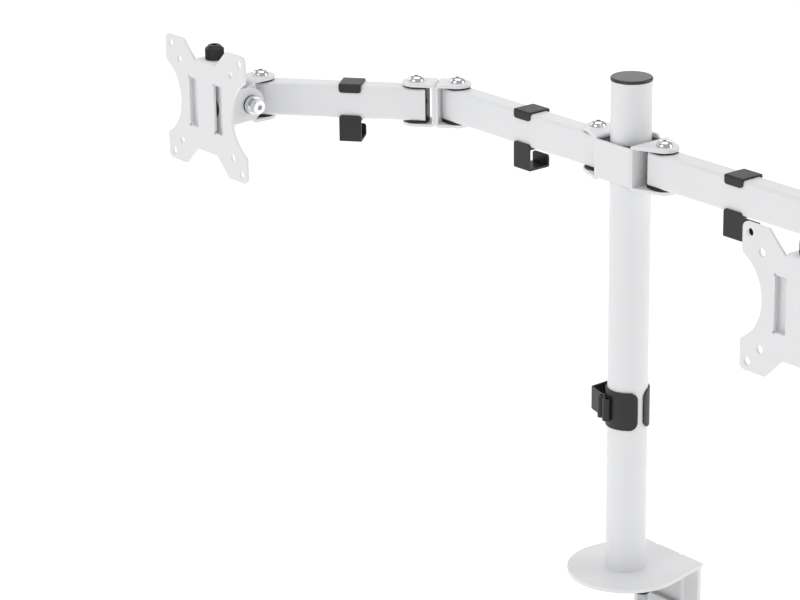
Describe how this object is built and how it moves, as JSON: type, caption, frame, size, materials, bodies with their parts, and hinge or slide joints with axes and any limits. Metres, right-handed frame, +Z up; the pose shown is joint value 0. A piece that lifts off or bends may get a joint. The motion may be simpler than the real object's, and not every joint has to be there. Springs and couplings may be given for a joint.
{
  "type": "monitor arm",
  "caption": "White desk-clamp pole stand with folding arms that each hold a screen plate, which swings, tilts and turns; cable clips under the arms and on the pole.",
  "frame": {"origin": "on the pole's axis at the desk surface, on the underside of the base pad", "axes": "+Z up along the pole, -Y towards the user, +X to the user's right"},
  "size_m": [0.8318, 0.2296, 0.5986],
  "materials": {
    "white_steel": "white powder coat, fine satin grain",
    "pole_steel": "smooth white powder coat",
    "black_plastic": "moulded, fine matte texture",
    "chrome_fastener": "bright nickel-chrome plate",
    "zinc_steel": "bright zinc plate",
    "rubber_pad": "soft foam rubber",
    "nylon": "smooth low-friction nylon"
  },
  "bodies": {
    "stand": {"base_pad": "rubber_pad", "base_plate": "white_steel", "foot_bolt": "zinc_steel", "clamp_upright": "white_steel", "lower_jaw": "white_steel", "jaw_bolts": "zinc_steel", "screw_nut": "zinc_steel", "pole_foot": "zinc_steel", "pole_tube": "pole_steel", "pole_cap": "black_plastic", "pole_cable_clip": "black_plastic"},
    "clamp_pad": {"clamp_foot": "black_plastic"},
    "clamp_turnscrew": {"clamp_screw": "zinc_steel", "clamp_handle": "black_plastic"},
    "sleeve": {"height_sleeve": "nylon"},
    "hub": {"hub_bracket": "white_steel", "hub_insert": "black_plastic", "hub_rear_plate": "white_steel", "hub_lock_screws": "chrome_fastener", "hub_pivot_bolts": "chrome_fastener"},
    "inner_arm_left": {"inner_tube_left": "white_steel", "inner_caps_left": "black_plastic", "inner_cable_clip_left": "black_plastic"},
    "elbow_left": {"elbow_bracket_inner_left": "white_steel", "elbow_bracket_outer_left": "white_steel", "elbow_bolts_left": "chrome_fastener"},
    "outer_arm_left": {"outer_tube_left": "white_steel", "outer_caps_left": "black_plastic", "outer_cable_clip_left": "black_plastic"},
    "swivel_left": {"swivel_bracket_left": "white_steel", "swivel_bolt_left": "chrome_fastener"},
    "tilt_head_left": {"tilt_bracket_left": "white_steel", "tilt_bolt_left": "chrome_fastener", "tilt_spacers_left": "chrome_fastener", "tilt_friction_rings_left": "nylon", "turn_bearing_left": "nylon", "turn_bolt_left": "black_plastic"},
    "screen_plate_left": {"carrier_plate_left": "white_steel", "vesa_plate_left": "white_steel"},
    "knob_left": {"lock_knob_left": "black_plastic"},
    "inner_arm_right": {"inner_tube_right": "white_steel", "inner_caps_right": "black_plastic", "inner_cable_clip_right": "black_plastic"},
    "elbow_right": {"elbow_bracket_inner_right": "white_steel", "elbow_bracket_outer_right": "white_steel", "elbow_bolts_right": "chrome_fastener"},
    "outer_arm_right": {"outer_tube_right": "white_steel", "outer_caps_right": "black_plastic", "outer_cable_clip_right": "black_plastic"},
    "swivel_right": {"swivel_bracket_right": "white_steel", "swivel_bolt_right": "chrome_fastener"},
    "tilt_head_right": {"tilt_bracket_right": "white_steel", "tilt_bolt_right": "chrome_fastener", "tilt_spacers_right": "chrome_fastener", "tilt_friction_rings_right": "nylon", "turn_bearing_right": "nylon", "turn_bolt_right": "black_plastic"},
    "screen_plate_right": {"carrier_plate_right": "white_steel", "vesa_plate_right": "white_steel"},
    "knob_right": {"lock_knob_right": "black_plastic"}
  },
  "joints": [
    {"name": "height_slide", "type": "slide", "parent": "stand", "child": "sleeve", "axis": [0, 0, 1], "range_m": [-0.18, 0.04]},
    {"name": "hub_swivel", "type": "hinge", "parent": "sleeve", "child": "hub", "pos_m": [0, 0, 0.3775], "axis": [0, 0, 1], "continuous": true},
    {"name": "inner_swing_left", "type": "hinge", "parent": "hub", "child": "inner_arm_left", "pos_m": [-0.04, 0, 0.3775], "axis": [0, 0, -1], "range_deg": [-90, 90]},
    {"name": "elbow_swing_left", "type": "hinge", "parent": "inner_arm_left", "child": "elbow_left", "pos_m": [-0.222, 0, 0.3775], "axis": [0, 0, 1], "range_deg": [-130, 50]},
    {"name": "outer_swing_left", "type": "hinge", "parent": "elbow_left", "child": "outer_arm_left", "pos_m": [-0.25034, -0.02378, 0.3775], "axis": [0, 0, -1], "range_deg": [-90, 90]},
    {"name": "head_swivel_left", "type": "hinge", "parent": "outer_arm_left", "child": "swivel_left", "pos_m": [-0.35836, -0.11442, 0.3775], "axis": [0, 0, 1], "range_deg": [-130, 30]},
    {"name": "head_tilt_left", "type": "hinge", "parent": "swivel_left", "child": "tilt_head_left", "pos_m": [-0.35836, -0.13842, 0.3775], "axis": [1, 0, 0], "range_deg": [-45, 45]},
    {"name": "screen_turn_left", "type": "hinge", "parent": "tilt_head_left", "child": "screen_plate_left", "pos_m": [-0.35836, -0.17562, 0.3775], "axis": [0, -1, 0], "continuous": true},
    {"name": "knob_turn_left", "type": "hinge", "parent": "screen_plate_left", "child": "knob_left", "pos_m": [-0.35836, -0.16412, 0.4275], "axis": [0, 0, 1], "range_deg": [0, 1080]},
    {"name": "inner_swing_right", "type": "hinge", "parent": "hub", "child": "inner_arm_right", "pos_m": [0.04, 0, 0.3775], "axis": [0, 0, 1], "range_deg": [-90, 90]},
    {"name": "elbow_swing_right", "type": "hinge", "parent": "inner_arm_right", "child": "elbow_right", "pos_m": [0.222, 0, 0.3775], "axis": [0, 0, -1], "range_deg": [-130, 50]},
    {"name": "outer_swing_right", "type": "hinge", "parent": "elbow_right", "child": "outer_arm_right", "pos_m": [0.25034, -0.02378, 0.3775], "axis": [0, 0, 1], "range_deg": [-90, 90]},
    {"name": "head_swivel_right", "type": "hinge", "parent": "outer_arm_right", "child": "swivel_right", "pos_m": [0.35836, -0.11442, 0.3775], "axis": [0, 0, -1], "range_deg": [-130, 30]},
    {"name": "head_tilt_right", "type": "hinge", "parent": "swivel_right", "child": "tilt_head_right", "pos_m": [0.35836, -0.13842, 0.3775], "axis": [1, 0, 0], "range_deg": [-45, 45]},
    {"name": "screen_turn_right", "type": "hinge", "parent": "tilt_head_right", "child": "screen_plate_right", "pos_m": [0.35836, -0.17562, 0.3775], "axis": [0, -1, 0], "continuous": true},
    {"name": "knob_turn_right", "type": "hinge", "parent": "screen_plate_right", "child": "knob_right", "pos_m": [0.35836, -0.16412, 0.4275], "axis": [0, 0, 1], "range_deg": [0, 1080]},
    {"name": "clamp_slide", "type": "slide", "parent": "stand", "child": "clamp_pad", "axis": [0, 0, 1], "range_m": [-0.045, 0.0175]},
    {"name": "screw_turn", "type": "hinge", "parent": "clamp_pad", "child": "clamp_turnscrew", "pos_m": [0, 0.021, -0.1], "axis": [0, 0, 1], "range_deg": [-10830, 4230]}
  ],
  "couplings": [
    {"joint": "screw_turn", "follows": "clamp_slide", "rad_per_m": 4188.8}
  ]
}
